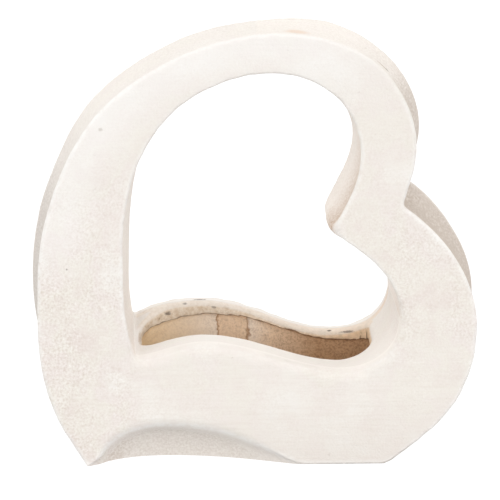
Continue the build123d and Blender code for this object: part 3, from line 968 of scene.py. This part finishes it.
    # The slot's cut: a thick cream skin, browner to the right, stained and pitted, and below it raw clay
    # with a ragged border under a brown crust, darkened further as painted shadow under the skin's edge
    tree["on cut"] = tree.add("ShaderNodeMapRange", {"Value": "cut", "From Min": 0.3, "From Max": 0.9})
    tree["tan"] = tree.add("ShaderNodeMapRange", {"Value": "x", "From Min": -20.0, "From Max": 60.0})
    tree["stained"] = tree.add("ShaderNodeMapRange", {"Value": "pits", "From Min": 0.4,
            "From Max": 0.66, "To Max": 0.8})
    tree["pitted"] = tree.add("ShaderNodeMapRange", {"Value": "pits", "From Min": 0.68, "From Max": 0.72})
    tree["ragged"] = tree.add("ShaderNodeMath", {0: "worn", 1: 0.5, 2: "raw"}, operation="MULTIPLY_ADD")
    tree["bare"] = tree.add("ShaderNodeMapRange", {"Value": "ragged", "From Min": 0.7, "From Max": 0.78})
    tree["crust_and_shadow"] = tree.add("ShaderNodeMapRange", {"Value": "ragged", "From Min": 0.36,
            "From Max": 0.52})
    tree["more"] = tree.add("ShaderNodeMapRange", {"Value": "x", "From Min": -50.0, "From Max": 0.0,
            "To Min": 0.6, "To Max": 0.85})
    tree["crust_and_shadow"] = tree.add("ShaderNodeMath", {0: "crust_and_shadow", 1: "more"}, operation="MULTIPLY")
    # The relief of the strokes and grains, sunk where the cut is pitted
    tree["relief"] = tree.add("ShaderNodeMath", {0: "strokes", 1: 0.6, 2: "grains"},
            operation="MULTIPLY_ADD")
    tree["sunk"] = tree.add("ShaderNodeMath", {0: "pits", 1: "on cut"}, operation="MULTIPLY")
    tree["relief"] = tree.add("ShaderNodeMath", {0: "sunk", 1: -3.0, 2: "relief"},
            operation="MULTIPLY_ADD")

    wash = tree.add("ShaderNodeValToRGB", {"Fac": "clouds"})
    set_stops(wash, [(0.34, "#DCD3CD"), (0.44, "#E0DBD3"), (0.52, "#DFD7D2"), (0.6, "#E2DDD7"),
            (0.7, "#E5E2DE")])
    # The dirt colour here is also the colour of the painted shade in the hollows
    tree.update(colour=wash, skin=linear("#E9DCCB"), dirt=linear("#BBB5AE"), clay=raw_clay(tree))
    # What is coated, with its coats one over the other: where and how much, and the colour
    coats = {
        "skin": [("tan", "#EBCFAF"), ("stained", "#CDB597"), ("pitted", "#5F4F42")],
        "dirt": [("warm", "#B79C84")],
        "colour": [("creamy", "#E2DDD6"), ("dark", "#C6B8AC"), ("crumbs", "#F4F2EF"),
                   ("soiled", "#CCC4BC"), ("stroke", "#CBBFB3"), ("outward", "#ECEAE8"),
                   ("thick_wash_and_light", "#F4EFE9"), ("thin_wash_and_shade", "dirt"), ("rubbed_and_highlight", "#F0EFED"),
                   ("contact_shadow", "#8C7F74"), ("on cut", "skin"), ("crust_and_shadow", "#76533A"),
                   ("bare", "clay")],
    }
    for middle, reach, code, strength in MARKS:
        off = tree.add("ShaderNodeVectorMath", {0: "where", 1: middle}, operation="SUBTRACT")
        off = tree.add("ShaderNodeVectorMath", {0: off, 1: reach}, operation="DIVIDE")
        tree["off"] = tree.add("ShaderNodeVectorMath", {0: off}, operation="LENGTH")
        tree["off"] = tree.add("ShaderNodeMath", {0: "grains", 1: 1.4, 2: "off"},
                operation="MULTIPLY_ADD")
        tree[middle] = tree.add("ShaderNodeMapRange", {"Value": "off", "From Min": 1.8, "From Max": 1.2,
                "To Max": strength})
        coats["colour"].append((middle, code))
    for coated, layers in coats.items():
        for mask, coat in layers:
            over = coat if coat in tree else linear(coat)
            tree[coated] = tree.add("ShaderNodeMix", {0: mask, 6: coated, 7: over}, data_type="RGBA")

    bump = tree.add("ShaderNodeBump", {"Height": "relief", "Strength": 0.4, "Distance": 0.5 * MM})
    end_material(tree, {"Base Color": "colour", "Normal": bump})
    return material


def bare_terracotta():
    """Unpainted low-fired clay: matt, sandy and brown."""
    material, tree = new_material("bare terracotta, cut and wiped")
    end_material(tree, {"Base Color": raw_clay(tree)})
    return material


washed = whitewashed_terracotta()
bare = bare_terracotta()


# ---------------------------------------------------------------- strips outside and in the opening
strip_between = strip_tree()
hand_pressed = hand_pressed_tree()


def make_strip(name, edge, number):
    """The strip between the slabs along one run of an edge."""
    run = edge.run(number)
    points = []
    inner = []
    push = []
    for side in (-1, 1):
        face = edge.face[side][run]
        inset = lifted(edge.inset(side, wall), side)[run]
        inset[:, 1] = face[:, 1]
        # At the floor the strip is cut level
        inset[:, 2] = np.where(face[:, 2] < 1e-6, face[:, 2], np.maximum(inset[:, 2], 0))
        points.append(face)
        inner.append(inset - face)
        push.append(np.insert(edge.push[side][run], 1, 0, axis=1))
    mesh = bpy.data.meshes.new(name)
    mesh.from_pydata(np.vstack(points).tolist(), [], [])
    for label, vectors in (("push", push), ("inner", inner)):
        stored = mesh.attributes.new(label, "FLOAT_VECTOR", "POINT")
        stored.data.foreach_set("vector", np.vstack(vectors).ravel())
    tags = {"along": edge.along[run], "grime": edge.grime[run], "warm": edge.warm[run]}
    for label, values in tags.items():
        mesh.attributes.new(label, "FLOAT", "POINT").data.foreach_set("value", np.tile(values, 2))
    piece = new_object(name, mesh)
    applied(piece, strip_between, {"Steps Across": steps_across, "Wall": wall, "Material": washed})
    return closed(piece)


outer_band = make_strip("outer_band_finished", outside, SWEEP)
lobe_band = make_strip("lobe_band_finished", outside, LOBE)
arch_lining = make_strip("arch_lining_finished", eye, ARCH)
lobe_lining = make_strip("lobe_lining_finished", eye, LOBE_INSIDE)


# ---------------------------------------------------------------- planting deck
def slot_outline():
    """The slot seen from above (X, Y), with two tight and two wide corners, clockwise."""
    corner = eye.flat[-1][eye.starts[ARCH]]
    left = corner[0] + slot_left_gap
    right = left + slot_length
    half = foot_half - lean * corner[1]
    near = -half + slot_front_rim
    far = half - slot_back_rim
    tight, wide = slot_tight_radius, slot_wide_radius
    corners = [(left + wide, far - wide, wide, 180), (right - tight, far - tight, tight, 90),
               (right - wide, near + wide, wide, 0), (left + tight, near + tight, tight, -90)]
    outline = []
    for middle_x, middle_y, radius, start in corners:
        for angle in np.radians(np.linspace(start, start - 90, 14)):
            outline.append((middle_x + radius * math.cos(angle), middle_y + radius * math.sin(angle)))
    outline = np.array(outline)
    closed_outline = np.vstack([outline, outline[:1]])
    along = np.concatenate([[0], np.cumsum(lengths(np.diff(closed_outline, axis=0)))])
    count = round(along[-1] / (point_spacing * 0.8))
    wanted = np.linspace(0, along[-1], count, endpoint=False)
    return np.column_stack([np.interp(wanted, along, closed_outline[:, column]) for column in (0, 1)])


def make_deck(name):
    run = eye.run(DECK)
    front, back = eye.face[-1][run], eye.face[1][run]
    inner_front = lifted(eye.inset(-1, wall), -1)[run] - front
    inner_back = lifted(eye.inset(1, wall), 1)[run] - back
    inner_front[:, 1] = 0
    inner_back[:, 1] = 0
    steps = len(run) - 1
    stations = np.arange(steps + 1)
    stretch = lengths(np.diff(front, axis=0)).sum() / steps
    depth_scale = eye.length[run].mean()

    def between(near, far, spot):
        """A value at net coordinates, along the run and across it, from its values on both edges."""
        share = (spot[:, 1] / depth_scale)[:, None]
        table = [np.interp(spot[:, 0] / stretch, stations, column) for column in (*near.T, *far.T)]
        return np.column_stack(table[:3]) * (1 - share) + np.column_stack(table[3:]) * share

    def top_at(spot):
        return between(front, back, spot)

    def inner_at(spot):
        return between(inner_front, inner_back, spot)

    def spot_of(plan):
        """Net coordinates of points (X, Y) seen from above."""
        spots = []
        for across, deep in plan:
            share = 0.5
            for _ in range(12):
                line = front * (1 - share) + back * share
                where = np.interp(-across, -line[:, 0], stations)
                near, far = (np.interp(where, stations, edge[:, 1]) for edge in (front, back))
                share = (deep - near) / (far - near)
            spots.append((where * stretch, share * depth_scale))
        return np.array(spots)

    # Outline: front seam, left end by the arm, back seam, right end in the lobe
    margin = wall / eye.length[run]
    along = stations * stretch
    across = np.arange(1, steps_across - 1) / (steps_across - 1)
    left = margin[-1] + (1 - 2 * margin[-1]) * across
    right = margin[0] + (1 - 2 * margin[0]) * across
    outline = np.vstack([
        np.column_stack([along, margin * depth_scale]),
        np.column_stack([np.full(len(across), along[-1]), left * depth_scale]),
        np.column_stack([along, (1 - margin) * depth_scale])[::-1],
        np.column_stack([np.zeros(len(across)), right[::-1] * depth_scale]),
    ])
    rim_top = top_at(outline)
    outer_rim = [layer(rim_top), layer(rim_top + inner_at(outline), raw=1)]

    # The slot: a rounded lip, a cut through the slab and a ragged lower edge
    slot = slot_outline()
    ahead = np.roll(slot, -1, axis=0) - np.roll(slot, 1, axis=0)
    ahead /= lengths(ahead)[:, None]
    away = np.column_stack([-ahead[:, 1], ahead[:, 0]])
    lip = lip_radius * (1 + 0.3 * rough(np.column_stack([slot, np.zeros(len(slot))]), 12 * MM, 7.0))
    flat_slot = spot_of(slot + away * lip[:, None])
    at_back = smooth(away[:, 1] + 0.5)
    slot_rim = []
    for angle in np.radians([90, 72, 54, 36, 18]):
        positions = top_at(spot_of(slot + away * (lip * (1 - math.cos(angle)))[:, None]))
        positions[:, 2] -= lip * (1 - math.sin(angle))
        slot_rim.append(layer(positions, rim=lip + 2 * MM, cut=np.maximum(0.55 * at_back, 0.8 - angle)))

    # The wash reaches down the cut's back by this share of the wall, from its left end to its right end.
    # Below it the filled joint shows as raw clay.
    place = (slot[:, 0] - slot[:, 0].min()) / slot_length
    reach = np.interp(place, [0, 0.08, 0.2, 0.36, 0.46, 0.7, 0.88, 1],
                      [1.0, 1.25, 1.15, 1.0, 0.62, 0.48, 0.75, 1.3])
    top = top_at(spot_of(slot))
    ragged = ragged_edge * (rough(top, 16 * MM, 1.0) + 0.6 * rough(top, 5 * MM, 2.0))
    washed_depth = wall * (1 + (reach - 1) * at_back) + ragged
    cut_depth = wall + (slot_backing - wall) * at_back
    for share in [0.13, 0.17, 0.21, 0.26, 0.31, 0.36, 0.41, 0.46, 0.52, 0.6, 0.7, 0.85, 1.0]:
        positions = top.copy()
        down = np.maximum(cut_depth * share, lip)
        positions[:, 2] -= down
        bare_share = np.clip((down - washed_depth) / ragged_fade + 0.5, 0, 1)
        # The wash stands out from the cut, and the raw clay lies back, deeper to the right
        skin = 0.5 + 0.4 * rough(positions, 7 * MM, 5.0) - (1.1 + smooth(place * 2)) * bare_share
        positions[:, :2] -= away * skin[:, None] * MM
        slot_rim.append(layer(positions, raw=bare_share, cut=1))

    def face(net):
        positions = top_at(net)
        behind = smooth((positions[:, 1] - slot[:, 1].max()) / (4 * MM) + 1)
        return layer(positions, cut=0.55 * behind)

    def underside(net):
        positions = top_at(net) + inner_at(net)
        apart = lengths(net[:, None] - flat_slot)
        nearest = np.argmin(apart, axis=1)
        filled = at_back[nearest] * (1 - smooth(apart[np.arange(len(net)), nearest] / backing_fade))
        positions[:, 2] -= (slot_backing - wall) * filled
        return layer(positions, raw=1)

    return plate(name, [outline, flat_slot], [outer_rim, slot_rim], face, underside, deck_spacing)


planting_deck = make_deck("planting_deck_finished")

# ---------------------------------------------------------------- finish and body of each piece
pieces = {"front_slab": front_slab, "back_slab": back_slab, "front_cove": front_cove,
          "back_cove": back_cove, "outer_band": outer_band, "lobe_band": lobe_band,
          "arch_lining": arch_lining, "lobe_lining": lobe_lining, "planting_deck": planting_deck}
pressing = {"Depth": press_depth, "Size": press_size, "Ripple Depth": ripple_depth,
            "Ripple Size": ripple_size, "Flat Foot": flat_foot, "Seed": press_seed, "Material": washed}
for node, piece in pieces.items():
    applied(piece, hand_pressed, pressing)
    kept = np.clip([vert.co for vert in piece.data.vertices], *cad_box)
    piece.data.vertices.foreach_set("co", kept.ravel())
    piece.data.update()
    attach(piece, "root")
    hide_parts(node)

base_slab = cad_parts["base_slab"]
base_slab.data.materials.clear()
base_slab.data.materials.append(bare)

# ---------------------------------------------------------------- floor, light and camera
floor_mesh = bpy.data.meshes.new("floor")
corners = [(-6, -6), (6, -6), (6, 6), (-6, 6)]
floor_mesh.from_pydata([(*corner, height) for height in (0, 4) for corner in corners], [],
        [(0, 1, 2, 3), (1, 0, 4, 5), (2, 1, 5, 6), (3, 2, 6, 7), (0, 3, 7, 4)])
floor = new_object("floor", floor_mesh)
paper, paper_tree = new_material("backlit white sheet")
end_material(paper_tree, {"Base Color": linear("#606060"), "Roughness": 1.0, "Specular IOR Level": 0.0,
        "Emission Color": linear("#FFFFFF"), "Emission Strength": 0.98})
floor.visible_diffuse = False
floor.visible_shadow = False
floor_mesh.materials.append(paper)

# Even light from all round, a little less from below, with soft lights in front, above, at both sides and
# behind, where the backdrop shines onto the inner sides
world = bpy.data.worlds.new("studio")
bpy.context.scene.world = world
world.use_nodes = True
background = world.node_tree.nodes["Background"]
background.inputs["Color"].default_value = linear("#FFFFFF")
sky = Tree(world.node_tree, {})
upward = sky.add("ShaderNodeTexCoord").outputs["Generated"]
upward = sky.add("ShaderNodeSeparateXYZ", {0: upward}).outputs["Z"]
brightness = sky.add("ShaderNodeMapRange", {"Value": upward, "From Min": -1.0, "To Min": 0.6,
        "To Max": 0.9})
world.node_tree.links.new(brightness.outputs[0], background.inputs["Strength"])
lights = (("front light", 0.62, 25, (0.0, -0.92, 0.38)), ("overhead light", 0.4, 60, (-0.1, -0.1, 1.0)),
          ("left light", 0.55, 40, (-0.8, -0.56, 0.26)), ("right light", 0.55, 40, (0.8, -0.56, 0.26)),
          ("back left light", 0.5, 40, (-0.62, 0.7, 0.35)),
          ("back right light", 0.6, 40, (0.62, 0.7, 0.35)))
for name, strength, softness, towards in lights:
    sun = bpy.data.lights.new(name, "SUN")
    sun.energy = strength
    sun.angle = math.radians(softness)
    new_object(name, sun).rotation_euler = Vector(towards).to_track_quat("Z", "Y").to_euler()

middle = Vector((-3.27 * MM, 0, 133 * MM))
camera_offset = Vector((-55.8, -2068, 639.9)) * MM
camera_data = bpy.data.cameras.new("camera")
camera_data.lens = 229.6
camera_data.sensor_width = 36
camera_data.clip_end = 50
camera = new_object("camera", camera_data)
camera.location = middle + camera_offset
camera.rotation_euler = (middle - camera.location).to_track_quat("-Z", "Y").to_euler()
bpy.context.scene.camera = camera
bpy.context.scene.view_settings.view_transform = "Standard"
